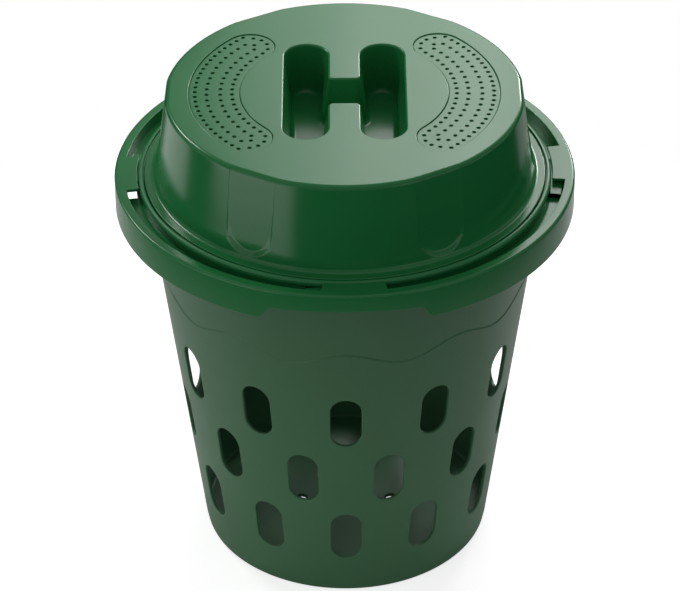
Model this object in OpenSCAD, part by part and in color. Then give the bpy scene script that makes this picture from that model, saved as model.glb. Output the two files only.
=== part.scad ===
// In-ground wormery: a slotted, tapered tub, a clip-on collar with bayonet tabs,
// and a domed twist-lock lid with a recessed H grip and two perforated vents.
// The origin is the centre of the foot the tub stands on. +Z is up, -Y is the front.

/* [Tub] */
// Height of the collar's top face above the foot
rim_z = 266; // [240:1:300]
// Outer radius of the tub's wall at the foot
foot_r = 93; // [85:0.5:100]
// Draft of the tub's wall, in degrees
tub_draft = 7.25; // [5:0.05:9]
// Thickness of the tub's wall
tub_wall = 2.2; // [1.8:0.1:3]
// Thickness of the tub's floor
floor_t = 2.8; // [2:0.1:4]

/* [Worm slots] */
// Width of one slot
slot_w = 19.5; // [12:0.5:24]
// Height of one slot
slot_h = 38.5; // [28:0.5:42]
// Slots in one row
slots = 12; // [8:1:14]
// Height of the middle of the lowest row
slot_z = 49; // [40:1:60]
// Distance from row to row
slot_pitch = 49.3; // [44:0.1:54]

/* [Collar] */
// Outer radius of the collar
collar_r = 145; // [144:0.5:150]
// Height of the collar's outer band
band_h = 21.4; // [18:0.1:26]
// Width of the collar's top face
rim_w = 6.4; // [5:0.1:7]
// Depth of the seat the lid rests on
seat_depth = 8; // [7:0.1:10]
// Inner radius of the four tabs that hold the lid down
tab_r = 130.8; // [130.5:0.1:132]
// Width of one tab, in degrees
tab_span = 16.4; // [12:0.1:20]
// Turn of the tabs about the upright axis, in degrees
tab_turn = 2.2; // [-5:0.1:5]

/* [Lid] */
// Height of the lid's flat top above the collar's top face
dome_h = 56.5; // [48:0.5:66]
// Radius of the dome's side where it would meet the flat top
dome_top_r = 111.9; // [106:0.1:113]
// Draft of the dome's side, in degrees
dome_draft = 7.9; // [6:0.1:9]
// Thickness of the lid's walls
lid_wall = 2.4; // [2:0.1:3]
// Outer radius of the lid's flush flange
flange_r = 126.3; // [126:0.1:126.5]
// Number of grip flutes round the dome
flutes = 6; // [4:1:8]
// Width of one flute
flute_w = 31.5; // [26:0.5:34]
// Depth of a flute at its middle
flute_depth = 1.8; // [1.2:0.1:2]

/* [Grip] */
// Width of a finger pocket at its mouth
pocket_w = 27.5; // [24:0.5:30]
// Length of a finger pocket at its mouth
pocket_l = 114; // [100:1:118]
// Distance of each pocket's middle from the lid's middle
pocket_x = 23.9; // [22:0.1:27]
// Half the width of the channel that joins the pockets
channel_half = 14.3; // [10:0.1:18]
// Depth of the grip
grip_depth = 33; // [24:0.5:36]
// Draft of the grip's walls, in degrees
grip_draft = 8.5; // [4:0.1:9]

/* [Vents] */
// Outer radius of a vent's crescent
vent_r = 97; // [94:0.5:98]
// Inner radius of a vent's crescent
vent_inner_r = 65; // [64:0.5:68]
// Half the arc of the crescent between its round ends, in degrees
vent_half = 42.5; // [36:0.5:44]
// Depth of a vent's face below the lid's top
vent_sink = 0.6; // [0.4:0.1:1]
// Diameter of one vent hole
vent_hole_d = 2.3; // [1.8:0.1:2.6]

/* [Hidden] */
$fn = 96;

lap = 0.5;              // how far joined shapes run into each other
bury = 1;               // how far tabs, ribs and lugs reach into what carries them
far = 200;              // well outside the object
foot_rise = 2;          // the floor's underside stands this far above the foot
foot_ring_w = 7;        // width of the ring the tub stands on
foot_fillet = 2.5;      // rounding of the foot's outer edge
drain_d = 8;            // drain holes: one in the middle of the floor and a ring of them
drain_ring_r = 30;
drain_ring_n = 6;

ledge_t = 2.2;          // thickness of the collar's seat
ledge_in_r = 124.2;     // inner edge of the seat
rim_in_r = collar_r - rim_w;
rim_t = 2;              // wall between the rim and the seat
rim_edge_r = 1.2;       // rounding of the rim's outer edge
seat_z = rim_z - seat_depth;
tub_top = seat_z - ledge_t;
bead_r = 127.3;         // bead round the tub's mouth, which the collar clips over
bead_h = 4.6;
skirt_in_r = 127.5;     // clip skirt under the seat
skirt_t = 2.1;
skirt_h = 8;
hook_r = 126.6;         // the skirt's hook, under the bead, with its play, ramp and land
hook_play = 0.2;
hook_ramp = 0.4;
hook_land = 0.6;
band_t = 2.2;
tab_t = 1.9;
core_in_r = 131.4;      // core openings in the seat, under the tabs
core_from = -11.8;      // their ends, in degrees from a tab's middle
core_to = 8.2;
core_margin = 0.4;      // strip of the seat left between an opening and the rim
rib_t = 1.8;            // stiffening ribs between the skirt and the band
rib_angles = [20, 43, 66];  // after each tab
lift_notch_w = 100;     // finger notches in the band's lower edge, front and back
lift_notch_h = 9.2;
lift_notch_end = 6;     // length of a notch's S-shaped end

groove_z = 1.8;         // depth of the fine groove between the lid and its seal ring
shelf_z = 3.5;          // depth of the shelf the seal ring lies on
shelf_r = 129.2;
seal_in_r = 126.6;
seal_lip_r = 127.5;
seal_r = 130.1;
lug_r = 137.6;          // bayonet lugs, which lock under the tabs
lug_span = 14.5;
lug_turn = -4.25;       // a locked lug's middle, in degrees from its tab's middle
lug_in_r = seal_r + 0.3;
lug_gap = 0.5;          // room under a lug, over the seat
lug_top = tab_t + 0.3;  // depth of a lug's highest edge, just under its tab
lug_low = 2.4;          // fall of a lug's ramp along its length
foot_fillet_r = 5.5;    // hollow rounding where the dome meets its flange
edge_r = 3;             // rounding of the dome's upper edge
flute_foot_z = 2;       // lowest point of a flute, in the hollow rounding at the dome's foot
flute_reach = 12;       // how far a flute's cutter reaches outwards

vent_t = 1.6;
vent_seat = 2.2;        // width of the ledge a vent rests on
vent_mid = (vent_r + vent_inner_r) / 2;
vent_cap = (vent_r - vent_inner_r) / 2;
wave_z = 200;           // mean height of the wavy step round the tub
wave_amp = 4.5;
waves = 10;
wave_share = 0.87;      // share of a half wave that the curve is drawn over
crest_share = 0.95;     // share of it where the hollow reaches the crests' height
crest_z = wave_z + 0.96 * wave_amp;
step_t = 0.5;           // the wall stands back this much above the step
vent_gap = 0.15;        // play round a vent in its seat
// rows of vent holes: distance from the crescent's outer edge, angle from hole to hole, holes
vent_rows = [[4, 3.55, 27], [11.3, 4.5, 20], [19.8, 5, 18], [27.1, 5, 18]];
vent_end_r = 11.5;      // holes round each end of a crescent, and the angles they lie at
vent_end_angles = [33, 4, -26, -58];
vent_end_mid = 4;       // distance of the hole inside them from the end's middle
grip_mouth = 1.6;       // bevel round the grip's mouth

function tub_out(z) = foot_r + z * tan(tub_draft);
function dome_out(z) = dome_top_r + (dome_h - z) * tan(dome_draft);

// Part of a flat ring, from angle a0 to angle a1
module ring_part(r0, r1, a0, a1, z0, z1) {
    rotate([0, 0, a0])
        rotate_extrude(angle = a1 - a0)
            translate([r0, z0]) square([r1 - r0, z1 - z0]);
}

// ---------------------------------------------------------------- tub

// Slot outline with full-round ends, standing upright in the X-Y plane
module slot_outline(w, h) {
    square([w, h - w], center = true);
    for (s = [-1, 1]) translate([0, s * (h - w) / 2]) circle(d = w);
}

module tub_body() {
    rotate_extrude()
        difference() {
            union() {
                polygon([
                    [0, 0], [foot_r - foot_fillet, 0], [tub_out(foot_fillet), foot_fillet],
                    [tub_out(tub_top), tub_top], [0, tub_top]
                ]);
                translate([foot_r - foot_fillet, foot_fillet]) circle(r = foot_fillet);
                translate([tub_out(tub_top) - tub_wall, tub_top - bead_h])
                    square([bead_r - tub_out(tub_top) + tub_wall, bead_h]);
            }
            // inside of the tub
            polygon([
                [-1, foot_rise + floor_t],
                [tub_out(foot_rise + floor_t) - tub_wall, foot_rise + floor_t],
                [tub_out(tub_top + 1) - tub_wall, tub_top + 1], [-1, tub_top + 1]
            ]);
            // hollow under the floor, inside the foot ring
            polygon([
                [-1, -1], [foot_r - foot_fillet - foot_ring_w, -1],
                [foot_r - foot_fillet - foot_ring_w, foot_rise], [-1, foot_rise]
            ]);
        }
}

module worm_slots() {
    for (row = [0:2], k = [0:slots - 1])
        translate([0, 0, slot_z + row * slot_pitch])
            rotate([0, 0, (k + (row == 1 ? 0.5 : 0)) * 360 / slots])
                rotate([90, 0, 90])
                    translate([0, 0, foot_r / 2])
                        linear_extrude(height = foot_r) slot_outline(slot_w, slot_h);
}

// The skin of the wall between two heights, as deep as the wavy step
module step_band(z0, z1) {
    rotate_extrude()
        polygon([
            [tub_out(z0) - step_t, z0], [collar_r, z0],
            [collar_r, z1], [tub_out(z1) - step_t, z1]
        ]);
}

// One hollow of the wavy step, as seen from outside: a cosine, which runs on past the
// height where the crests are cut level
module wave_outline() {
    r = tub_out(wave_z);
    half = 180 / waves;
    steps = 6;
    wave = [for (i = [-steps:steps]) let (a = i * half * wave_share / steps)
        [r * sin(a), wave_z - wave_amp * cos(a * waves)]];
    polygon(concat(
        [[-r * sin(half * crest_share), crest_z + 1]], wave,
        [[r * sin(half * crest_share), crest_z + 1]]
    ));
}

// Where the wall stands back, above the wavy step
module step_back() {
    step_band(crest_z, tub_top - bead_h);
    intersection() {
        step_band(wave_z - wave_amp - 1, crest_z + 0.5);
        for (k = [0:waves - 1])
            rotate([0, 0, (k + 0.5) * 360 / waves - 90])
                rotate([90, 0, 90])
                    translate([0, 0, foot_r]) linear_extrude(height = foot_r) wave_outline();
    }
}

module drain_holes() {
    deep = foot_rise + floor_t + 2;
    translate([0, 0, -1]) cylinder(d = drain_d, h = deep);
    for (k = [0:drain_ring_n - 1])
        rotate([0, 0, k * 360 / drain_ring_n])
            translate([drain_ring_r, 0, -1]) cylinder(d = drain_d, h = deep);
}

module tub() {
    color("#2c4a36")
        difference() {
            tub_body();
            worm_slots();
            drain_holes();
            step_back();
        }
}

// ---------------------------------------------------------------- collar

// Outline of a lifting notch, as seen from the front, with S-shaped ends
module lift_notch_outline() {
    steps = 8;
    x0 = lift_notch_w / 2;
    top = rim_z - band_h + lift_notch_h;
    s_end = [for (i = [0:steps]) [
        x0 - lift_notch_end * i / steps,
        top - lift_notch_h * (1 + cos(180 * i / steps)) / 2
    ]];
    left_end = [for (i = [steps:-1:0]) [-s_end[i][0], s_end[i][1]]];
    polygon(concat([[x0, top - lift_notch_h - 5]], s_end, left_end,
        [[-x0, top - lift_notch_h - 5]]));
}

module collar_ring() {
    under_bead = -seat_depth - ledge_t - bead_h - hook_play;
    translate([0, 0, rim_z])
        rotate_extrude()
            difference() {
                union() {
                    // seat, rim and band
                    translate([ledge_in_r, -seat_depth - ledge_t])
                        square([rim_in_r + rim_t - ledge_in_r, ledge_t]);
                    translate([rim_in_r, -seat_depth - lap])
                        square([rim_t, seat_depth + lap]);
                    translate([rim_in_r, -band_t]) square([rim_w - rim_edge_r, band_t]);
                    translate([collar_r - rim_edge_r, -rim_edge_r]) circle(r = rim_edge_r);
                    translate([collar_r - band_t, -band_h])
                        square([band_t, band_h - rim_edge_r]);
                    // clip skirt with its hook
                    polygon([
                        [skirt_in_r, -seat_depth - lap],
                        [skirt_in_r, under_bead],
                        [hook_r, under_bead - hook_ramp],
                        [hook_r, under_bead - hook_ramp - hook_land],
                        [skirt_in_r, -seat_depth - ledge_t - skirt_h],
                        [skirt_in_r + skirt_t, -seat_depth - ledge_t - skirt_h],
                        [skirt_in_r + skirt_t, -seat_depth - lap]
                    ]);
                }
                // nothing of the skirt stands above the seat
                translate([ledge_in_r - 1, -seat_depth])
                    square([rim_in_r - ledge_in_r + 1, seat_depth + 1]);
            }
}

module collar() {
    color("#1e4a2c")
        difference() {
            union() {
                collar_ring();
                for (k = [0:3])
                    rotate([0, 0, tab_turn + 90 * k]) {
                        ring_part(tab_r, rim_in_r + bury, -tab_span / 2, tab_span / 2,
                            rim_z - tab_t, rim_z);
                        for (a = rib_angles)
                            rotate([0, 0, a])
                                translate([skirt_in_r + bury, -rib_t / 2, tub_top - skirt_h])
                                    cube([
                                        collar_r - skirt_in_r - 2 * bury, rib_t,
                                        skirt_h + bury
                                    ]);
                    }
            }
            // core openings under the tabs
            for (k = [0:3])
                rotate([0, 0, tab_turn + 90 * k])
                    ring_part(core_in_r, rim_in_r - core_margin, core_from, core_to,
                        seat_z - ledge_t - 1, seat_z + 1);
            // lifting notches, front and back
            for (turn = [0, 180])
                rotate([0, 0, turn])
                    translate([0, -collar_r / 2, 0])
                        rotate([90, 0, 0])
                            linear_extrude(height = collar_r) lift_notch_outline();
        }
}

// ---------------------------------------------------------------- lid

// The dome as a solid, drawn in by inset on every side
module dome_solid(inset, low) {
    r = max(edge_r - inset, 0.5);
    top = dome_h - inset;
    wall_in = inset / cos(dome_draft);
    edge_x = dome_out(top - r) - wall_in - r / cos(dome_draft);
    rotate_extrude() {
        polygon([
            [0, low], [dome_out(low) - wall_in, low],
            [edge_x + r * cos(dome_draft), top - r + r * sin(dome_draft)],
            [edge_x, top - r], [edge_x, top], [0, top]
        ]);
        translate([edge_x, top - r]) circle(r = r);
    }
}

// Flat-bottomed flutes, U-shaped at their foot and open at the dome's top. Inset gives the
// ones on the inside of the wall, which are as much wider all round.
module flute_cuts(inset) {
    half = flute_w / 2 + inset;
    low = flute_foot_z - inset;
    for (k = [0:flutes - 1])
        rotate([0, 0, k * 360 / flutes])
            translate([dome_out(0) - flute_depth - inset / cos(dome_draft), 0, 0])
                rotate([0, -dome_draft, 0])
                    rotate([90, 0, 90])
                        linear_extrude(height = flute_reach) {
                            translate([0, low + half]) circle(r = half);
                            translate([-half, low + half]) square([2 * half, dome_h]);
                        }
}

// The H grip, grown by g on every side, with its mouth at the lid's top
module grip_form(g, mouth) {
    depth = grip_depth + g;
    r_top = pocket_w / 2 + g;
    draw = depth * tan(grip_draft);
    end_y = (pocket_l - pocket_w) / 2;
    c = channel_half + g;
    translate([0, 0, dome_h - depth]) {
        for (sx = [-1, 1])
            translate([sx * pocket_x, 0, 0]) {
                for (sy = [-1, 1])
                    translate([0, sy * end_y, 0])
                        cylinder(r1 = r_top - draw, r2 = r_top, h = depth);
                rotate([90, 0, 0])
                    translate([0, 0, -end_y])
                        linear_extrude(height = 2 * end_y)
                            polygon([
                                [-r_top + draw, 0], [r_top - draw, 0],
                                [r_top, depth], [-r_top, depth]
                            ]);
            }
        rotate([90, 0, 90])
            translate([0, 0, -pocket_x])
                linear_extrude(height = 2 * pocket_x)
                    polygon([[-c + draw, 0], [c - draw, 0], [c, depth], [-c, depth]]);
    }
    // rounded-off mouth
    if (mouth > 0)
        translate([0, 0, dome_h - mouth]) {
            for (sx = [-1, 1])
                translate([sx * pocket_x, 0, 0]) {
                    for (sy = [-1, 1])
                        translate([0, sy * end_y, 0])
                            cylinder(r1 = r_top, r2 = r_top + mouth, h = mouth);
                    rotate([90, 0, 0])
                        translate([0, 0, -end_y])
                            linear_extrude(height = 2 * end_y)
                                polygon([
                                    [-r_top, 0], [r_top, 0],
                                    [r_top + mouth, mouth], [-r_top - mouth, mouth]
                                ]);
                }
            rotate([90, 0, 90])
                translate([0, 0, -pocket_x])
                    linear_extrude(height = 2 * pocket_x)
                        polygon([[-c, 0], [c, 0], [c + mouth, mouth], [-c - mouth, mouth]]);
        }
}

// Crescent outline, grown by g, on the +X side
module crescent(g) {
    difference() {
        intersection() {
            circle(r = vent_r + g);
            polygon([
                [0, 0], [far * cos(vent_half), -far * sin(vent_half)], [1.3 * far, 0],
                [far * cos(vent_half), far * sin(vent_half)]
            ]);
        }
        circle(r = vent_inner_r - g);
    }
    for (s = [-1, 1])
        rotate([0, 0, s * vent_half]) translate([vent_mid, 0]) circle(r = vent_cap + g);
}

// Flange, shelf and skirt round the dome's foot
module flange_ring() {
    f = foot_fillet_r;
    in_r = dome_out(0) - 2 * lid_wall;
    // the hollow rounding's centre, at one distance from the flange and the dome's side
    x = dome_out(f) + f / cos(dome_draft);
    rotate_extrude() {
        difference() {
            polygon([
                [in_r, -lid_wall], [flange_r, -lid_wall], [flange_r, 0], [x, 0],
                [x - f * cos(dome_draft), f - f * sin(dome_draft)],
                [in_r, f - f * sin(dome_draft)]
            ]);
            translate([x, f]) circle(r = f);
        }
        translate([flange_r - lid_wall, -seat_depth]) square([lid_wall, seat_depth]);
        translate([flange_r - lid_wall, -seat_depth])
            square([shelf_r - flange_r + lid_wall, seat_depth - shelf_z]);
    }
}

// A bayonet lug: a root on the shelf, and a ramp that rises towards the lug's trailing end
// and wedges it under its tab as the lid turns clockwise
module lug() {
    half = lug_span / 2;
    low = -seat_depth + lug_gap;
    half_l = lug_r * sin(half);
    ring_part(shelf_r - bury, lug_in_r + lap, -half, half, low, -shelf_z - lug_low / 2);
    intersection() {
        ring_part(lug_in_r, lug_r, -half, half, low, -lug_top);
        translate([0, 0, -lug_top - lug_low / 2])
            rotate([atan(lug_low / (2 * half_l)), 0, 0])
                translate([0, -2 * half_l, -2 * seat_depth])
                    cube([far, 4 * half_l, 2 * seat_depth]);
    }
}

module lid_shell() {
    difference() {
        union() {
            difference() {
                union() {
                    dome_solid(0, 0);
                    flange_ring();
                }
                flute_cuts(0);
                difference() {
                    dome_solid(lid_wall, -lid_wall - 1);
                    flute_cuts(lid_wall);
                }
            }
            intersection() {
                union() {
                    grip_form(lid_wall, 0);
                    for (turn = [0, 180])
                        rotate([0, 0, turn])
                            translate([0, 0, dome_h - vent_sink - vent_t - lid_wall])
                                linear_extrude(height = lid_wall + vent_t) crescent(lid_wall);
                }
                dome_solid(lid_wall / 2, 0);
            }
        }
        grip_form(0, grip_mouth);
        // seats and openings for the vents
        for (turn = [0, 180])
            rotate([0, 0, turn]) {
                translate([0, 0, dome_h - vent_sink - vent_t])
                    linear_extrude(height = vent_t + vent_sink + 1) crescent(0);
                translate([0, 0, dome_h / 2])
                    linear_extrude(height = dome_h) crescent(-vent_seat);
            }
    }
}

module lid() {
    color("#2f6b44")
        translate([0, 0, rim_z]) {
            lid_shell();
            for (k = [0:3]) rotate([0, 0, tab_turn + lug_turn + 90 * k]) lug();
        }
}

module seal_ring() {
    color("#27583a")
        translate([0, 0, rim_z])
            rotate_extrude() {
                translate([seal_in_r, -shelf_z])
                    square([seal_r - seal_in_r, shelf_z - groove_z]);
                translate([seal_lip_r, -shelf_z]) square([seal_r - seal_lip_r, shelf_z]);
            }
}

// ---------------------------------------------------------------- vents

// Vent holes in four even arcs, with five more in each round end
module vent_holes() {
    module arc_row(r, step, n) {
        for (i = [0:n - 1]) rotate([0, 0, (i - (n - 1) / 2) * step])
            translate([r, 0]) circle(d = vent_hole_d, $fn = 24);
    }
    for (row = vent_rows) arc_row(vent_r - row[0], row[1], row[2]);
    for (s = [-1, 1])
        rotate([0, 0, s * vent_half]) translate([vent_mid, 0]) {
            for (a = vent_end_angles)
                rotate([0, 0, s * (90 - a)]) translate([vent_end_r, 0])
                    circle(d = vent_hole_d, $fn = 24);
            translate([0, s * vent_end_mid]) circle(d = vent_hole_d, $fn = 24);
        }
}

module vent_plate() {
    translate([0, 0, rim_z + dome_h - vent_sink - vent_t])
        linear_extrude(height = vent_t)
            difference() {
                crescent(-vent_gap);
                vent_holes();
            }
}

module right_vent() {
    color("#2b6340") vent_plate();
}

module left_vent() {
    color("#2b6340") rotate([0, 0, 180]) vent_plate();
}

tub();
collar();
seal_ring();
lid();
left_vent();
right_vent();
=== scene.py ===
import math

import bpy
import mathutils
import numpy as np
from mathutils import Matrix, Vector


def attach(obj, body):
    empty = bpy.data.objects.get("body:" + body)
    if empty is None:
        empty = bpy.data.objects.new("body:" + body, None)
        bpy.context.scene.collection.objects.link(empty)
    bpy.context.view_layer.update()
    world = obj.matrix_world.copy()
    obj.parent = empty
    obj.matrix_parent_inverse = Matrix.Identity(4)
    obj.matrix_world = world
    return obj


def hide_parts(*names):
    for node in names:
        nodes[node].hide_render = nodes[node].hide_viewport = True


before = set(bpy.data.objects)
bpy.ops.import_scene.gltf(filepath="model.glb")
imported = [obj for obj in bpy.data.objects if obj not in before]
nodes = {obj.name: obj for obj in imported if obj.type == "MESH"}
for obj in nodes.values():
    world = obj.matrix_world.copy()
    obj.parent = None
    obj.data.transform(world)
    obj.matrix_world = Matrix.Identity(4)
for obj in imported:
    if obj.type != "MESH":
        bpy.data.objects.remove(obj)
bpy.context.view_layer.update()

MM = 0.001

# ---------------------------------------------------------------- studio

# The camera looks at the middle of the wormery from in front and above
AIM = Vector((-0.00334, 0.0, 0.1686))
DISTANCE = 2.2507
ELEVATION = math.radians(34.165)
ROLL = math.radians(-0.291)
LENS = 184.47
SENSOR = 36.0

# What the lamps face: the middle of the lid
LIT = Vector((0, 0, 0.29))

# How bright the sky is straight overhead
SKY = 0.337

# The pale floor: its radius, its grey, and the light it adds for the camera alone
FLOOR_R, FLOOR_GREY, FLOOR_GLOW = 0.5, 0.8, 0.72

# Soft lamps: name, azimuth and elevation in degrees, distance, width and height in metres, and
# radiance
LAMPS = (
    ("left_key", -48, 38, 1.3, 0.3, 0.3, 12.000),
    ("right_key", 27, 21, 1.3, 0.2, 0.24, 18.000),
    ("back_left_of_middle", -8, 31, 1.3, 0.14, 0.8, 0.277),
    ("back_middle", -2, 31, 1.3, 0.14, 0.8, 1.432),
    ("back_right_of_middle", 4, 31, 1.3, 0.14, 0.8, 2.327),
    ("back_bright", 10, 31, 1.3, 0.14, 0.8, 2.494),
    ("back_brightest", 16, 31, 1.3, 0.14, 0.8, 3.090),
    ("back_right", 24, 31, 1.3, 0.22, 0.8, 1.648),
    ("back_right_edge", 38, 31, 1.3, 0.45, 0.8, 0.412),
    ("left_level", -85, 4, 1.3, 0.9, 0.5, 0.372),
    ("front_left_level", -135, 6, 1.3, 1.0, 0.5, 0.515),
    ("front_left_high", -130, 30, 1.3, 0.9, 0.6, 0.286),
    ("front_level", 180, 6, 1.3, 1.0, 0.5, 0.203),
    ("front_right_level", 135, 5, 1.3, 1.0, 0.5, 0.526),
    ("right_level", 85, 5, 1.3, 1, 0.5, 0.393),
    ("back_left_low", -56, -19, 1.2, 0.74, 0.38, 1.000),
    ("back_right_low", 37, -20, 1.2, 0.6, 0.36, 0.360),
    ("front_left_low", -124, -13, 1.2, 1.16, 0.28, 1.551))


def make_camera():
    """The camera, turned about its own line of sight by the small roll."""
    ahead = Vector((0, math.cos(ELEVATION), -math.sin(ELEVATION)))
    level_right = Vector((1, 0, 0))
    level_up = Vector((0, math.sin(ELEVATION), math.cos(ELEVATION)))
    right = level_right * math.cos(ROLL) + level_up * math.sin(ROLL)
    up = level_up * math.cos(ROLL) - level_right * math.sin(ROLL)
    data = bpy.data.cameras.new("camera")
    data.lens = LENS
    data.sensor_width = SENSOR
    data.clip_end = 20
    camera = bpy.data.objects.new("camera", data)
    bpy.context.scene.collection.objects.link(camera)
    turn = Matrix((right, up, -ahead)).transposed()
    camera.matrix_world = Matrix.Translation(AIM - ahead * DISTANCE) @ turn.to_4x4()
    bpy.context.scene.camera = camera


def softbox(name, azimuth, elevation, distance, width, height, radiance):
    """A soft rectangular lamp of even radiance that faces the lid. Its azimuth runs from the
    back (+Y) towards the right (+X), and its elevation is above the lid's middle, in degrees."""
    data = bpy.data.lights.new(name, "AREA")
    data.shape = "RECTANGLE"
    data.size = width
    data.size_y = height
    data.energy = radiance * math.pi * width * height
    lamp = bpy.data.objects.new(name, data)
    bpy.context.scene.collection.objects.link(lamp)
    a, e = math.radians(azimuth), math.radians(elevation)
    away = Vector((math.sin(a) * math.cos(e), math.cos(a) * math.cos(e), math.sin(e)))
    lamp.location = LIT + away * distance
    lamp.rotation_euler = away.to_track_quat("Z", "Y").to_euler()
    lamp.visible_camera = False


def make_world():
    """White for the camera. Everything else sees a dim sky, darkest at the horizon and as
    bright as SKY overhead."""
    world = bpy.data.worlds.new("studio")
    bpy.context.scene.world = world
    world.use_nodes = True
    tree = world.node_tree
    tree.nodes.clear()
    output = tree.nodes.new("ShaderNodeOutputWorld")
    mix = tree.nodes.new("ShaderNodeMixShader")
    light = tree.nodes.new("ShaderNodeBackground")
    seen = tree.nodes.new("ShaderNodeBackground")
    path = tree.nodes.new("ShaderNodeLightPath")
    direction = tree.nodes.new("ShaderNodeTexCoord")
    parts = tree.nodes.new("ShaderNodeSeparateXYZ")
    upward = tree.nodes.new("ShaderNodeMath")
    upward.operation = "MAXIMUM"
    upward.inputs[1].default_value = 0.0
    strength = tree.nodes.new("ShaderNodeMath")
    strength.operation = "MULTIPLY"
    strength.inputs[1].default_value = SKY
    tree.links.new(direction.outputs["Generated"], parts.inputs[0])
    tree.links.new(parts.outputs["Z"], upward.inputs[0])
    tree.links.new(upward.outputs[0], strength.inputs[0])
    tree.links.new(strength.outputs[0], light.inputs["Strength"])
    light.inputs["Color"].default_value = (1, 1, 1, 1)
    seen.inputs["Color"].default_value = (1, 1, 1, 1)
    seen.inputs["Strength"].default_value = 1.0
    tree.links.new(path.outputs["Is Camera Ray"], mix.inputs["Fac"])
    tree.links.new(light.outputs[0], mix.inputs[1])
    tree.links.new(seen.outputs[0], mix.inputs[2])
    tree.links.new(mix.outputs[0], output.inputs["Surface"])


def make_floor():
    """A pale disc under the wormery, which shows white to the camera apart from the shadow."""
    rings, spokes = 24, 96
    r = np.linspace(0, 1, rings + 1)[1:] ** 1.5 * FLOOR_R
    a = np.linspace(0, 2 * np.pi, spokes, endpoint=False)
    rr, aa = np.meshgrid(r, a, indexing="ij")
    points = np.stack([rr * np.cos(aa), rr * np.sin(aa), np.zeros_like(rr)], -1).reshape(-1, 3)
    points = np.vstack([[0, 0, 0], points])
    index = 1 + np.arange(rings * spokes).reshape(rings, spokes)
    nxt = np.roll(index, -1, axis=1)
    quads = np.stack([index[:-1], index[1:], nxt[1:], nxt[:-1]], -1).reshape(-1, 4)
    fan = np.stack([np.zeros(spokes, int), index[0], nxt[0]], -1)
    mesh = bpy.data.meshes.new("floor")
    mesh.from_pydata(points.tolist(), [], quads.tolist() + fan.tolist())
    floor = bpy.data.objects.new("floor", mesh)
    bpy.context.scene.collection.objects.link(floor)
    material = bpy.data.materials.new("floor_pale")
    material.use_nodes = True
    tree = material.node_tree
    tree.nodes.clear()
    output = tree.nodes.new("ShaderNodeOutputMaterial")
    add = tree.nodes.new("ShaderNodeAddShader")
    diffuse = tree.nodes.new("ShaderNodeBsdfDiffuse")
    glow = tree.nodes.new("ShaderNodeEmission")
    path = tree.nodes.new("ShaderNodeLightPath")
    scale = tree.nodes.new("ShaderNodeMath")
    scale.operation = "MULTIPLY"
    diffuse.inputs["Color"].default_value = (FLOOR_GREY, FLOOR_GREY, FLOOR_GREY, 1)
    scale.inputs[1].default_value = FLOOR_GLOW
    tree.links.new(path.outputs["Is Camera Ray"], scale.inputs[0])
    tree.links.new(scale.outputs[0], glow.inputs["Strength"])
    tree.links.new(diffuse.outputs[0], add.inputs[0])
    tree.links.new(glow.outputs[0], add.inputs[1])
    tree.links.new(add.outputs[0], output.inputs["Surface"])
    mesh.materials.append(material)


make_camera()
make_world()
make_floor()
for lamp in LAMPS:
    softbox(*lamp)

# ---------------------------------------------------------------- sizes
#
# Lengths are in millimetres. The tub's heights are above its foot, and the heights of the
# collar, the seal ring and the lid are above the collar's top face, which lies at RIM.

RIM = 266.0

# The edges of the meshes that stay sharp turn by more than this
SHARP = math.radians(38)

# Tub: wall, mouth bead, foot ring and floor, slots, wavy step and drain holes
TUB_FOOT_R, TUB_DRAFT, TUB_WALL = 93.0, math.radians(7.25), 2.2
TUB_TOP, BEAD_R, BEAD_H = 255.8, 127.3, 4.6
FOOT_IN_R, FOOT_ROUND, FLOOR_LOW, FLOOR_HIGH = 83.5, 2.5, 2.0, 4.8
SLOT_W, SLOT_H, SLOTS, SLOT_Z, SLOT_PITCH = 19.5, 38.5, 12, 49.0, 49.3
WAVE_AMP, WAVES, STEP = 4.5, 10, 0.4
DRAIN_R, DRAIN_RING, DRAINS = 4.0, 30.0, 6

# Collar: band, rim, seat, skirt with its hook, tabs, core openings, ribs and lifting notches
COLLAR_R, BAND_H, BAND_T = 145.0, 21.4, 2.2
RIM_IN_R, RIM_OUT_ROUND, RIM_WALL, RIM_T = 138.6, 1.8, 2.0, 2.2
SEAT_Z, SEAT_T, SEAT_IN_R = -8.0, 2.2, 124.2
SKIRT_IN_R, SKIRT_T, SKIRT_H, HOOK_R = 127.5, 2.1, 8.0, 126.6
TAB_R, TAB_T, TAB_HALF, TAB_TURN, TAB_ROUND = 130.8, 1.9, 8.2, 2.2, 0.8
CORE_IN_R, CORE_OUT_R, CORE_FROM, CORE_TO = 131.4, 137.3, -11.8, 7.4
RIB_T, RIB_ANGLES = 1.8, (20, 43, 66)
NOTCH_HALF, NOTCH_H, NOTCH_ARCH, NOTCH_END = 53.2, 9.8, 2.4, 7.0

# Seal ring, and the lid's shelf that it sits on
SEAL_R, SEAL_IN_R, SEAL_LIP_R, SEAL_GROOVE, SHELF_Z = 130.1, 126.6, 127.5, 1.8, -3.5

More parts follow.
